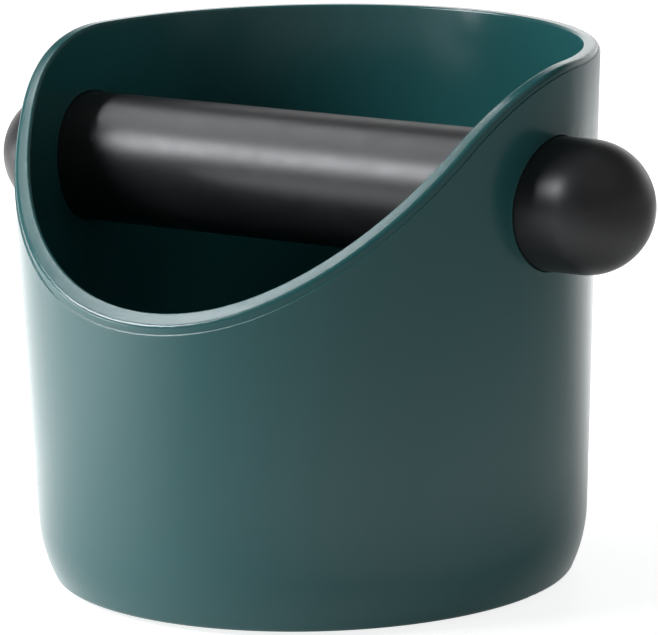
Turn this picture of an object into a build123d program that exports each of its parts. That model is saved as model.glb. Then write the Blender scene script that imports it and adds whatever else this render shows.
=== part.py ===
"""Espresso knock box: an open bucket with a removable knock bar pushed through both side walls.

Millimetres, +Z up. The origin is on the table under the middle of the bucket. The low, scooped
side of the rim faces -Y and the knock bar runs along X.
"""

import os
from math import cos, hypot, radians, sin, tan

from build123d import *

os.makedirs("parts", exist_ok=True)

# ---------------------------------------------------------------- driving dimensions

overall_height = 101.3
top_radius = 56.0
base_radius = 52.0  # the straight wall carried down to the underside
wall = 3.2
floor_thickness = 4.5

bar_radius = 12.5
bar_half_length = 72.5
bar_height = 76.0
bar_setback = 1.5  # the bar lies this far behind the bucket's middle
bar_offset = 2.0  # the bar is pushed this far to the right at rest

running_gap = 0.05  # radial clearance between parts that turn or slide on each other

# ---------------------------------------------------------------- bucket

foot_proud = 0.8  # how far the foot pad holds the underside off the table
foot_radius = 43.0
foot_recess = 2.0

cavity_floor = foot_proud + floor_thickness
cavity_corner_radius = 7.0

heel_height = 6.1  # from the underside to where the wall would start without its rounding
heel_top = foot_proud + heel_height
heel_lean = 25.0  # degrees from upright
heel_radius = 28.0
heel_edge_radius = 1.5

rim_flat_front = 8.0  # the level part of the rim ends this far behind the middle
shoulder_radius = 42.0
ramp_angle = 44.2
ramp_foot = 48.8  # distance in front of the middle where the ramp starts to level out
toe_radius = 90.0
toe_turn = 12.0
rim_outer_radius = 1.1
rim_inner_radius = 0.5

ledge_drop = 1.25  # the mould's parting line runs this far below the rim
ledge_width = 0.25  # and the wall stands this far proud of the rim there
ledge_edge_radius = 0.1

bore_edge_radius = 0.3
reach = top_radius + 15.0  # long enough to pass right through the bucket in every cut
touching = 0.05  # edges this close to a surface count as lying on it

# ---------------------------------------------------------------- foot pad

foot_edge_radius = 0.5
foot_groove_radii = (24.0, 30.0, 36.0)
foot_groove_width = 1.6
foot_groove_depth = 0.5

# ---------------------------------------------------------------- knock bar

core_radius = 8.0
core_half_length = 56.0
core_edge = 0.6
core_end_gap = 0.3  # the cap cores stop just short of the steel
socket_radius = 4.0
socket_depth = 14.0

skin_bore_radius = core_radius + running_gap
seam = 50.3  # sleeve and end cap meet this far from the bar's middle
dome_start = bar_half_length - bar_radius

shoulder_face = core_half_length + core_end_gap
spigot_radius = socket_radius - running_gap
spigot_length = 12.0
spigot_edge = 0.8


def wall_radius(height):
    """Outside radius of the bucket's straight wall at a height above the table."""
    slope = (top_radius - base_radius) / (overall_height - foot_proud)
    return base_radius + slope * (height - foot_proud)


def wall_depth(edge):
    """How far inside the straight wall's outer surface the middle of an edge lies."""
    middle = edge @ 0.5
    return wall_radius(middle.Z) - hypot(middle.X, middle.Y)


def curved(edges):
    """Leave out the straight edges, which are the seams of the round walls."""
    return edges.filter_by(GeomType.LINE, reverse=True)


def above_rim(drop):
    """Side view of everything above a line that runs `drop` below the rim."""
    level = overall_height - drop
    sky = overall_height + reach
    ramp_run = ramp_foot + rim_flat_front - shoulder_radius * sin(radians(ramp_angle))
    ramp_length = ramp_run / cos(radians(ramp_angle))
    with BuildSketch(Plane.YZ) as region:
        with BuildLine():
            back = Line((reach, level), (rim_flat_front, level))
            shoulder = JernArc(back @ 1, back % 1, shoulder_radius - drop, ramp_angle)
            ramp = PolarLine(shoulder @ 1, ramp_length, direction=shoulder % 1)
            toe = JernArc(ramp @ 1, ramp % 1, toe_radius + drop, -toe_turn)
            Polyline(toe @ 1, (-reach, (toe @ 1).Y), (-reach, sky), (reach, sky), back @ 0)
        make_face()
    return region.sketch


def across_bar(distance):
    """Plane square to the bar, at a distance to the right of the bar's middle."""
    return Plane(origin=(bar_offset + distance, bar_setback, bar_height), z_dir=(1, 0, 0))


def left_copy(piece):
    """The same piece at the other end of the bar."""
    return mirror(piece, about=across_bar(0))


bar_axis = Axis((bar_offset, bar_setback, bar_height), (1, 0, 0))
bar_side_view = Plane(origin=bar_axis.position, x_dir=(1, 0, 0), z_dir=(0, -1, 0))


# ---------------------------------------------------------------- bucket and foot pad

# Rim cut: the thin skin that is missing above the parting line, all round the rim.
with BuildPart() as rim_cut:
    with BuildSketch(Plane.YZ):
        with BuildLine():
            Polyline(
                (base_radius - ledge_width, foot_proud),
                (reach, foot_proud),
                (reach, overall_height),
                (top_radius - ledge_width, overall_height),
                close=True,
            )
        make_face()
    revolve(axis=Axis.Z)
    extrude(above_rim(ledge_drop), amount=reach, both=True, mode=Mode.INTERSECT)

# Bucket: one moulding. The tapered wall turns in at the heel to a flat underside, and the rim
# ramps down from the level back to the low front.
with BuildPart() as bucket:
    heel = (wall_radius(heel_top), heel_top)
    foot = (heel[0] - (heel_top - foot_proud) * tan(radians(heel_lean)), foot_proud)
    with BuildSketch(Plane.YZ) as outside:
        with BuildLine():
            Polyline(
                (0, foot_proud),
                foot,
                heel,
                (top_radius, overall_height),
                (0, overall_height),
                close=True,
            )
        make_face()
        fillet(outside.vertices().sort_by_distance(heel)[0], heel_radius)
        fillet(outside.vertices().sort_by_distance(foot)[0], heel_edge_radius)
    revolve(axis=Axis.Z)
    add(rim_cut.part, mode=Mode.SUBTRACT)
    cut_edges = curved(bucket.edges(Select.LAST))
    fillet(cut_edges.filter_by(lambda edge: wall_depth(edge) < touching), ledge_edge_radius)

    corner = (wall_radius(cavity_floor) - wall, cavity_floor)
    with BuildSketch(Plane.YZ) as cavity:
        with BuildLine():
            Polyline(
                (0, cavity_floor),
                corner,
                (top_radius - wall, overall_height),
                (0, overall_height),
                close=True,
            )
        make_face()
        fillet(cavity.vertices().sort_by_distance(corner)[0], cavity_corner_radius)
    revolve(axis=Axis.Z, mode=Mode.SUBTRACT)

    extrude(above_rim(0), amount=reach, both=True, mode=Mode.SUBTRACT)
    rim_edges = curved(bucket.edges(Select.LAST))
    outer_rim = rim_edges.filter_by(lambda edge: wall_depth(edge) < ledge_width + touching)
    inner_rim = rim_edges.filter_by(lambda edge: wall_depth(edge) > wall - touching)
    fillet(outer_rim, rim_outer_radius)
    fillet(inner_rim, rim_inner_radius)

    with BuildSketch(across_bar(0)):
        Circle(bar_radius + running_gap)
    extrude(amount=reach, both=True, mode=Mode.SUBTRACT)
    fillet(curved(bucket.edges(Select.LAST)), bore_edge_radius)

    with BuildSketch(Plane.XY.offset(foot_proud)):
        Circle(foot_radius)
    extrude(amount=foot_recess, mode=Mode.SUBTRACT)
bucket.part.label = "bucket"
export_step(bucket.part, "parts/bucket.step")

# Foot pad: a soft disc pressed into the underside, with rings that break the suction.
with BuildPart() as foot_pad:
    with BuildSketch():
        Circle(foot_radius)
    extrude(amount=foot_proud + foot_recess)
    fillet(foot_pad.edges().sort_by(Axis.Z)[0], foot_edge_radius)
    for groove_radius in foot_groove_radii:
        with BuildSketch():
            Circle(groove_radius + foot_groove_width / 2)
            Circle(groove_radius - foot_groove_width / 2, mode=Mode.SUBTRACT)
        extrude(amount=foot_groove_depth, mode=Mode.SUBTRACT)
foot_pad.part.label = "foot_pad"
export_step(foot_pad.part, "parts/foot_pad.step")


# ---------------------------------------------------------------- knock bar

# Core rod: the solid steel bar inside the rubber, with a socket in each end for the cap cores.
with BuildPart() as core_rod:
    with BuildSketch(across_bar(-core_half_length)):
        Circle(core_radius)
    extrude(amount=2 * core_half_length)
    chamfer(core_rod.edges().filter_by(GeomType.CIRCLE), core_edge)
    with BuildSketch(across_bar(-core_half_length), across_bar(core_half_length - socket_depth)):
        Circle(socket_radius)
    extrude(amount=socket_depth, mode=Mode.SUBTRACT)
core_rod.part.label = "core_rod"
export_step(core_rod.part, "parts/core_rod.step")

# Knock sleeve: the straight rubber tube that takes the blows.
with BuildPart() as knock_sleeve:
    with BuildSketch(across_bar(-seam)):
        Circle(bar_radius)
        Circle(skin_bore_radius, mode=Mode.SUBTRACT)
    extrude(amount=2 * seam)
knock_sleeve.part.label = "knock_sleeve"
export_step(knock_sleeve.part, "parts/knock_sleeve.step")

# End cap: a rubber thimble that carries the sleeve's skin on and closes it with a round end.
with BuildPart() as right_end_cap:
    with BuildSketch(bar_side_view):
        with BuildLine():
            Line((seam, bar_radius), (dome_start, bar_radius))
            RadiusArc((dome_start, bar_radius), (bar_half_length, 0), bar_radius)
            Line((bar_half_length, 0), (dome_start + skin_bore_radius, 0))
            RadiusArc(
                (dome_start + skin_bore_radius, 0), (dome_start, skin_bore_radius), -skin_bore_radius
            )
            Line((dome_start, skin_bore_radius), (seam, skin_bore_radius))
            Line((seam, skin_bore_radius), (seam, bar_radius))
        make_face()
    revolve(axis=bar_axis)
right_end_cap.part.label = "right_end_cap"
export_step(right_end_cap.part, "parts/right_end_cap.step")

left_end_cap = left_copy(right_end_cap.part)
left_end_cap.label = "left_end_cap"
export_step(left_end_cap, "parts/left_end_cap.step")

# Cap core: the hard plug inside each end cap. Its spigot reaches into the rod's socket.
with BuildPart() as right_cap_core:
    with BuildSketch(bar_side_view):
        with BuildLine():
            Line((shoulder_face, 0), (shoulder_face, skin_bore_radius))
            Line((shoulder_face, skin_bore_radius), (dome_start, skin_bore_radius))
            RadiusArc(
                (dome_start, skin_bore_radius), (dome_start + skin_bore_radius, 0), skin_bore_radius
            )
            Line((dome_start + skin_bore_radius, 0), (shoulder_face, 0))
        make_face()
    revolve(axis=bar_axis)
    with BuildSketch(across_bar(shoulder_face)):
        Circle(spigot_radius)
    extrude(amount=-spigot_length)
    chamfer(right_cap_core.edges().filter_by(GeomType.CIRCLE).sort_by(Axis.X)[0], spigot_edge)
right_cap_core.part.label = "right_cap_core"
export_step(right_cap_core.part, "parts/right_cap_core.step")

left_cap_core = left_copy(right_cap_core.part)
left_cap_core.label = "left_cap_core"
export_step(left_cap_core, "parts/left_cap_core.step")
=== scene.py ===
"""Looks, floor, light and camera for the espresso knock box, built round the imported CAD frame.

Metres, in the CAD's frame: +Z is up, the low front of the rim faces -Y and the knock bar runs
along X. Directions are given as an azimuth (0 is the front, 90 the right) and an elevation.
"""

import math

import bpy
from mathutils import Matrix, Vector


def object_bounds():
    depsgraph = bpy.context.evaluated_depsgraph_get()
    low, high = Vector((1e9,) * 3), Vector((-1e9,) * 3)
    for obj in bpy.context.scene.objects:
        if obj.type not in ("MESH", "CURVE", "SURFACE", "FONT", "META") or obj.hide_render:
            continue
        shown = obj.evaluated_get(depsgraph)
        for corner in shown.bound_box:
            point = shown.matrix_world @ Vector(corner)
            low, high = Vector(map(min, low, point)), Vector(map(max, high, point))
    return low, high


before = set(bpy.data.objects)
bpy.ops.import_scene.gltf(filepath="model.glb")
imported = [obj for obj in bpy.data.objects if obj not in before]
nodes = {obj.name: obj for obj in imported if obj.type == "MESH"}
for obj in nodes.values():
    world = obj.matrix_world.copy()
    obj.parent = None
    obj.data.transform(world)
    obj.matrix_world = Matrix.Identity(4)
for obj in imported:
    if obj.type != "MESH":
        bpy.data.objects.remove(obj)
cad_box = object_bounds()
lowest, highest = cad_box

MM = 0.001
WHITE = (1.0, 1.0, 1.0)


# ---------------------------------------------------------------- node helpers


class Shader:
    """A material and short calls to add and join its nodes."""

    def __init__(self, name):
        self.material = bpy.data.materials.new(name)
        self.material.use_nodes = True
        self.tree = self.material.node_tree
        self.tree.nodes.clear()
        self.surface = self.node("ShaderNodeBsdfPrincipled")
        self.output = self.node("ShaderNodeOutputMaterial")
        self.link(self.surface.outputs["BSDF"], self.output.inputs["Surface"])

    def node(self, kind, **settings):
        made = self.tree.nodes.new(kind)
        for name, value in settings.items():
            setattr(made, name, value)
        return made

    def link(self, output, target):
        self.tree.links.new(output, target)

    def place(self, scale=(1.0, 1.0, 1.0)):
        """Texture coordinates fixed to the object, in metres times scale."""
        coordinates = self.node("ShaderNodeTexCoord")
        mapping = self.node("ShaderNodeMapping")
        mapping.inputs["Scale"].default_value = scale
        self.link(coordinates.outputs["Object"], mapping.inputs["Vector"])
        return mapping.outputs["Vector"]

    def noise(self, vector, scale=1.0, detail=2.0, roughness=0.5):
        """Soft lumps, about `scale` of them to each unit of the vector."""
        made = self.node("ShaderNodeTexNoise")
        made.inputs["Scale"].default_value = scale
        made.inputs["Detail"].default_value = detail
        made.inputs["Roughness"].default_value = roughness
        self.link(vector, made.inputs["Vector"])
        return made.outputs["Fac"]

    def span(self, value, low, high, from_low=0.0, from_high=1.0):
        """Stretch a value from one range on to low..high, and stop it at both ends."""
        made = self.node("ShaderNodeMapRange")
        made.inputs["From Min"].default_value = from_low
        made.inputs["From Max"].default_value = from_high
        made.inputs["To Min"].default_value = low
        made.inputs["To Max"].default_value = high
        self.link(value, made.inputs["Value"])
        return made.outputs["Result"]

    def mix(self, factor, first, second):
        """Blend two colours, each a socket or an (r, g, b)."""
        made = self.node("ShaderNodeMix", data_type="RGBA")
        self.link(factor, made.inputs["Factor"])
        for source, name in ((first, "A"), (second, "B")):
            target = [s for s in made.inputs if s.name == name and s.type == "RGBA"][0]
            if isinstance(source, tuple):
                target.default_value = (*source, 1.0)
            else:
                self.link(source, target)
        return [s for s in made.outputs if s.type == "RGBA"][0]

    def combine(self, operation, first, *others):
        """Run one sum over several numbers, such as ADD or MULTIPLY."""
        result = first
        for other in others:
            made = self.node("ShaderNodeMath", operation=operation)
            self.link(result, made.inputs[0])
            self.link(other, made.inputs[1])
            result = made.outputs["Value"]
        return result

    def along(self, vector, direction):
        """How far a vector reaches in a direction."""
        made = self.node("ShaderNodeVectorMath", operation="DOT_PRODUCT")
        self.link(vector, made.inputs[0])
        made.inputs[1].default_value = direction
        return made.outputs["Value"]

    def length(self, vector):
        made = self.node("ShaderNodeVectorMath", operation="LENGTH")
        self.link(vector, made.inputs[0])
        return made.outputs["Value"]

    def edges(self, reach):
        """1 on sharp outer edges, fading to 0 where the solid is thick on every side."""
        made = self.node("ShaderNodeAmbientOcclusion", inside=True, samples=8)
        made.inputs["Distance"].default_value = reach
        return self.span(made.outputs["AO"], low=1.0, high=0.0, from_low=0.55, from_high=0.95)

    def bump(self, height, distance, under=None):
        """Normals raised by a height texture, on top of an earlier bump if one is given."""
        made = self.node("ShaderNodeBump")
        made.inputs["Distance"].default_value = distance
        made.inputs["Strength"].default_value = 1.0
        self.link(height, made.inputs["Height"])
        if under:
            self.link(under, made.inputs["Normal"])
        return made.outputs["Normal"]

    def seen_or_cast(self, seen, cast):
        """The number `seen` for the camera, and the socket `cast` for light on other things."""
        path = self.node("ShaderNodeLightPath")
        chosen = self.node("ShaderNodeMix", data_type="FLOAT")
        self.link(path.outputs["Is Camera Ray"], chosen.inputs["Factor"])
        self.link(cast, chosen.inputs["A"])
        chosen.inputs["B"].default_value = seen
        return chosen.outputs["Result"]

    def see_through_from_behind(self):
        """Keep the surface only on the side its normal points to."""
        behind = self.node("ShaderNodeNewGeometry").outputs["Backfacing"]
        clear = self.node("ShaderNodeBsdfTransparent").outputs["BSDF"]
        both = self.node("ShaderNodeMixShader")
        self.link(behind, both.inputs["Fac"])
        self.link(self.surface.outputs["BSDF"], both.inputs[1])
        self.link(clear, both.inputs[2])
        self.link(both.outputs["Shader"], self.output.inputs["Surface"])

    def set(self, **inputs):
        """Give the surface's inputs a number, a colour or a socket."""
        for name, value in inputs.items():
            target = self.surface.inputs[name.replace("_", " ")]
            if isinstance(value, bpy.types.NodeSocket):
                self.link(value, target)
            elif isinstance(value, tuple):
                target.default_value = (*value, 1.0)
            else:
                target.default_value = value


class Sky(Shader):
    """The world's nodes, with the same short calls as a material."""

    def __init__(self, name):
        world = bpy.data.worlds.new(name)
        bpy.context.scene.world = world
        world.use_nodes = True
        self.tree = world.node_tree
        self.tree.nodes.clear()
        self.surface = self.node("ShaderNodeBackground")
        output = self.node("ShaderNodeOutputWorld")
        self.link(self.surface.outputs["Background"], output.inputs["Surface"])
        self.direction = self.node("ShaderNodeTexCoord").outputs["Generated"]

    def patch(self, azimuth, elevation, brightness, edge, full):
        """A soft round patch of light; edge and full are cosines of the angle from its middle."""
        nearness = self.along(self.direction, toward(azimuth, elevation))
        return self.span(nearness, low=0.0, high=brightness, from_low=edge, from_high=full)


# ---------------------------------------------------------------- materials


def moulded_plastic():
    """Dark teal-green ABS with a satin moulded skin, a little paler and duller where edges rub."""
    deep_teal = (0.017, 0.101, 0.101)
    light_teal = (0.021, 0.109, 0.115)
    rubbed_teal = (0.09, 0.19, 0.19)
    rub_reach = 1.5 * MM
    ripple_height = 0.02 * MM
    grain_height = 0.006 * MM

    shader = Shader("bucket_plastic")
    place = shader.place()
    pigment = shader.noise(place, scale=26.0, detail=3.0)
    ripple = shader.noise(place, scale=70.0, detail=1.0)
    grain = shader.noise(place, scale=2600.0)
    scuffs = shader.noise(shader.place(scale=(120.0, 120.0, 1500.0)), detail=3.0)
    rubs = shader.noise(place, scale=420.0, detail=4.0, roughness=0.7)
    patchy = shader.span(rubs, low=0.1, high=1.0, from_low=0.4, from_high=0.65)
    worn = shader.combine("MULTIPLY", shader.edges(rub_reach), patchy)

    colour = shader.mix(pigment, deep_teal, light_teal)
    colour = shader.mix(shader.span(worn, low=0.0, high=0.35), colour, rubbed_teal)
    satin = shader.span(grain, low=0.17, high=0.22)
    scuffed = shader.span(scuffs, low=0.0, high=0.02, from_low=0.5, from_high=0.7)
    dulled = shader.span(worn, low=0.0, high=0.06)
    skin = shader.bump(ripple, ripple_height)
    shader.set(
        Base_Color=colour,
        Roughness=shader.combine("ADD", satin, scuffed, dulled),
        IOR=1.58,
        Normal=shader.bump(grain, grain_height, under=skin),
    )
    return shader.material


def bar_rubber():
    """Black rubber with a finely pitted satin skin and a faint uneven bloom."""
    black = (0.011, 0.0115, 0.0125)
    bloomed_black = (0.020, 0.0205, 0.022)
    greyed_black = (0.026, 0.026, 0.028)
    mottle_height = 0.012 * MM
    pit_height = 0.012 * MM

    shader = Shader("bar_rubber")
    place = shader.place()
    bloom = shader.noise(place, scale=55.0, detail=5.0, roughness=0.6)
    mottle = shader.noise(place, scale=260.0, detail=4.0, roughness=0.6)
    pits = shader.noise(place, scale=3000.0, detail=3.0)

    colour = shader.mix(bloom, black, bloomed_black)
    greyed = shader.span(mottle, low=0.0, high=0.5, from_low=0.5, from_high=0.8)
    satin = shader.span(mottle, low=0.35, high=0.41, from_low=0.3, from_high=0.7)
    hazed = shader.span(bloom, low=-0.02, high=0.03)
    skin = shader.bump(mottle, mottle_height)
    shader.set(
        Base_Color=shader.mix(greyed, colour, greyed_black),
        Roughness=shader.combine("ADD", satin, hazed),
        IOR=1.58,
        Normal=shader.bump(pits, pit_height, under=skin),
    )
    return shader.material


def foot_rubber():
    """Matt black rubber for the pad under the bucket."""
    black = (0.012, 0.012, 0.012)
    dusty_black = (0.022, 0.022, 0.022)
    grain_height = 0.03 * MM

    shader = Shader("foot_rubber")
    grain = shader.noise(shader.place(), scale=1800.0, detail=3.0)
    shader.set(
        Base_Color=shader.mix(grain, black, dusty_black),
        Roughness=0.75,
        Normal=shader.bump(grain, grain_height),
    )
    return shader.material


def turned_steel():
    """Steel rod with fine rings from the lathe."""
    steel = (0.55, 0.55, 0.56)
    ring_height = 0.01 * MM

    shader = Shader("core_steel")
    rings = shader.noise(shader.place(scale=(4000.0, 40.0, 40.0)), detail=3.0)
    shader.set(
        Base_Color=steel,
        Metallic=1.0,
        Roughness=shader.span(rings, low=0.22, high=0.40),
        Normal=shader.bump(rings, ring_height),
    )
    return shader.material


def natural_nylon():
    """Off-white nylon, slightly translucent."""
    cream = (0.68, 0.66, 0.58)
    pale_cream = (0.78, 0.76, 0.69)
    cloud_height = 0.04 * MM

    shader = Shader("cap_nylon")
    cloud = shader.noise(shader.place(), scale=90.0, detail=3.0)
    shader.set(
        Base_Color=shader.mix(cloud, cream, pale_cream),
        Roughness=shader.span(cloud, low=0.42, high=0.55),
        Subsurface_Weight=0.2,
        Normal=shader.bump(cloud, cloud_height),
    )
    return shader.material


def dress(material, *names):
    """Give every face of the named CAD nodes one material."""
    for name in names:
        mesh = nodes[name].data
        for index in range(len(mesh.materials)):
            mesh.materials[index] = material


# ---------------------------------------------------------------- shading across seams


def face_joiner():
    """Geometry nodes that join CAD faces along their borders and keep only true corners sharp."""
    same_place = 0.002 * MM
    corner_angle = math.radians(30)

    group = bpy.data.node_groups.new("join_cad_faces", "GeometryNodeTree")
    for direction in ("INPUT", "OUTPUT"):
        group.interface.new_socket(
            "Geometry", in_out=direction, socket_type="NodeSocketGeometry"
        )
    incoming = group.nodes.new("NodeGroupInput")
    merge = group.nodes.new("GeometryNodeMergeByDistance")
    merge.inputs["Distance"].default_value = same_place
    soften = group.nodes.new("GeometryNodeSetShadeSmooth")
    angle = group.nodes.new("GeometryNodeInputMeshEdgeAngle")
    is_corner = group.nodes.new("FunctionNodeCompare")
    is_corner.operation = "GREATER_THAN"
    is_corner.inputs["B"].default_value = corner_angle
    sharpen = group.nodes.new("GeometryNodeSetShadeSmooth")
    sharpen.domain = "EDGE"
    sharpen.inputs["Shade Smooth"].default_value = False
    outgoing = group.nodes.new("NodeGroupOutput")

    chain = (incoming, merge, soften, sharpen, outgoing)
    for earlier, later in zip(chain, chain[1:]):
        group.links.new(earlier.outputs["Geometry"], later.inputs["Geometry"])
    group.links.new(angle.outputs["Unsigned Angle"], is_corner.inputs["A"])
    group.links.new(is_corner.outputs["Result"], sharpen.inputs["Selection"])
    return group


def smooth_seams(*names):
    """Let the shading of the named CAD nodes run on across every smooth seam."""
    joiner = face_joiner()
    for name in names:
        nodes[name].modifiers.new("join", "NODES").node_group = joiner
        even = nodes[name].modifiers.new("even_normals", "WEIGHTED_NORMAL")
        even.mode = "FACE_AREA_WITH_ANGLE"
        even.keep_sharp = True


# ---------------------------------------------------------------- floor, light and camera


def toward(azimuth, elevation):
    """Unit vector from the bucket to a place on the sky."""
    turn = math.radians(azimuth)
    rise = math.radians(elevation)
    level = Vector((math.sin(turn), -math.cos(turn), 0.0))
    return math.cos(rise) * level + math.sin(rise) * Vector((0.0, 0.0, 1.0))


def floor_glow(shader):
    """How brightly the floor lights the object: most from the left, least in the bucket's shade.

    The disc under the pad is there for views from below.
    """
    left_brightness = 1.4
    ring_brightness = 0.38
    pad_brightness = 0.4

    place = shader.place()
    away = shader.length(place)
    leftward = shader.along(place, toward(-108, 0))
    left = shader.combine(
        "MULTIPLY",
        shader.span(leftward, low=0.0, high=left_brightness, from_low=-0.08, from_high=0.12),
        shader.span(away, low=1.0, high=0.3, from_low=0.3, from_high=0.6),
    )
    ring = shader.combine(
        "MULTIPLY",
        shader.span(away, low=0.0, high=ring_brightness, from_low=0.04, from_high=0.12),
        shader.span(away, low=1.0, high=0.2, from_low=0.14, from_high=0.28),
    )
    under_pad = shader.span(away, low=pad_brightness, high=0.0, from_low=0.04, from_high=0.043)
    return shader.combine("MAXIMUM", left, ring, under_pad)


def pale_floor():
    """A wide floor just under the foot pad, near white to the camera and unseen from below."""
    grey = (0.5, 0.5, 0.5)
    seen_brightness = 0.84
    half = 3.0
    below_pad = 0.1 * MM
    level = lowest.z - below_pad

    shader = Shader("floor_white")
    shader.set(
        Base_Color=grey,
        Roughness=0.6,
        Emission_Color=WHITE,
        Emission_Strength=shader.seen_or_cast(seen_brightness, floor_glow(shader)),
    )
    shader.see_through_from_behind()

    mesh = bpy.data.meshes.new("floor")
    square = ((-half, -half), (half, -half), (half, half), (-half, half))
    mesh.from_pydata([(x, y, level) for x, y in square], [], [(0, 1, 2, 3)])
    mesh.materials.append(shader.material)
    floor = bpy.data.objects.new("floor", mesh)
    bpy.context.scene.collection.objects.link(floor)


def studio_walls():
    """A dim room with a white backdrop behind the bucket, which the camera sees as plain white."""
    seen_brightness = 1.0

    sky = Sky("studio")
    behind = sky.patch(azimuth=-150, elevation=8, brightness=1.4, edge=0.5, full=0.97)
    overhead = sky.patch(azimuth=60, elevation=70, brightness=0.17, edge=0.6, full=0.95)
    right = sky.patch(azimuth=100, elevation=15, brightness=0.16, edge=0.4, full=0.95)
    height = sky.along(sky.direction, toward(0, 90))
    top_cut = sky.span(height, low=1.0, high=0.0, from_low=0.25, from_high=0.55)
    walls = sky.span(height, low=0.28, high=0.02, from_low=0.0, from_high=0.3)
    backdrop = sky.combine("MULTIPLY", behind, top_cut)
    light = sky.combine("ADD", backdrop, right, walls, overhead)
    sky.set(Color=WHITE, Strength=sky.seen_or_cast(seen_brightness, light))


def softbox(name, azimuth, elevation, width, height, brightness):
    """A rectangular soft light aimed just below the bar."""
    distance = 1.2
    cool_white = (0.95, 0.97, 1.0)
    aim_height = 0.6 * highest.z

    back = toward(azimuth, elevation)
    light = bpy.data.lights.new(name, "AREA")
    light.shape = "RECTANGLE"
    light.size = width
    light.size_y = height
    light.energy = brightness * math.pi * width * height
    light.color = cool_white
    lamp = bpy.data.objects.new(name, light)
    lamp.location = Vector((0.0, 0.0, aim_height)) + distance * back
    lamp.rotation_euler = back.to_track_quat("Z", "Y").to_euler()
    lamp.visible_camera = False
    bpy.context.scene.collection.objects.link(lamp)


def add_camera():
    """A long lens, slightly above the rim and to the right of the front."""
    azimuth = 35.106
    elevation = 11.984
    roll = math.radians(-1.268)
    distance = 986.4 * MM
    aim_height = 49.155 * MM
    aim_right = 3.846 * MM

    back = toward(azimuth, elevation)
    right = toward(azimuth + 90, 0)
    up = back.cross(right)
    turned_right = math.cos(roll) * right + math.sin(roll) * up
    turned_up = math.cos(roll) * up - math.sin(roll) * right
    aim = Vector((0.0, 0.0, aim_height)) + aim_right * right
    pose = Matrix((turned_right, turned_up, back)).transposed().to_4x4()
    pose.translation = aim + distance * back

    data = bpy.data.cameras.new("camera")
    data.sensor_width = 36.0
    data.lens = 283.77
    camera = bpy.data.objects.new("camera", data)
    camera.matrix_world = pose
    bpy.context.scene.collection.objects.link(camera)
    bpy.context.scene.camera = camera


# ---------------------------------------------------------------- the scene

smooth_seams("bucket", "knock_sleeve")
dress(moulded_plastic(), "bucket")
dress(bar_rubber(), "knock_sleeve", "left_end_cap", "right_end_cap")
dress(foot_rubber(), "foot_pad")
dress(turned_steel(), "core_rod")
dress(natural_nylon(), "left_cap_core", "right_cap_core")

bpy.context.scene.view_settings.view_transform = "Standard"
pale_floor()
studio_walls()
softbox("key", azimuth=-46, elevation=33.5, width=0.7, height=0.37, brightness=15)
softbox("left_panel", azimuth=-92, elevation=55, width=0.8, height=0.07, brightness=17)
softbox("left_low", azimuth=-58, elevation=-1, width=0.84, height=0.08, brightness=18)
add_camera()
